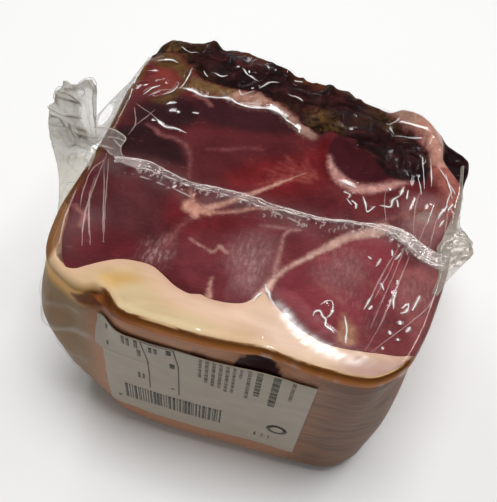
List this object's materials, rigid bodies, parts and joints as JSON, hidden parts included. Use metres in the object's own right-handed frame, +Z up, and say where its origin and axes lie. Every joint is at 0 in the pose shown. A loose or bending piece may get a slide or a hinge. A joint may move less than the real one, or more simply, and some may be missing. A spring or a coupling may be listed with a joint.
{
  "type": "dry-cured ham block in shrink film",
  "caption": "Block of boneless dry-cured ham, cut side up, with a fat cap and rind, shrunk into clear film with a crimped end seal, a standing film ear and a paper label.",
  "frame": {"origin": "middle of the bounding box, on the surface that the ham rests on", "axes": "+Z up, away from the lower cut side; +X along the rind and the end seal, towards the small film ear; +Y from the rind and label to the dark crust"},
  "size_m": [0.1474, 0.1348, 0.1193],
  "materials": {
    "cured_lean": "moist dark red lean with pale marbling and a craggy near-black crust, glossy under film",
    "fat_and_rind": "cream to pink fat, amber edge and brown rind, glossy under film",
    "clear_film": "clear shrink film with crinkled welded seal",
    "label_paper": "matt grey-white label paper with plain dark bars"
  },
  "bodies": {
    "root": {"lean": "cured_lean", "fat_cap": "fat_and_rind", "film_bag": "clear_film", "label": "label_paper"}
  },
  "joints": []
}
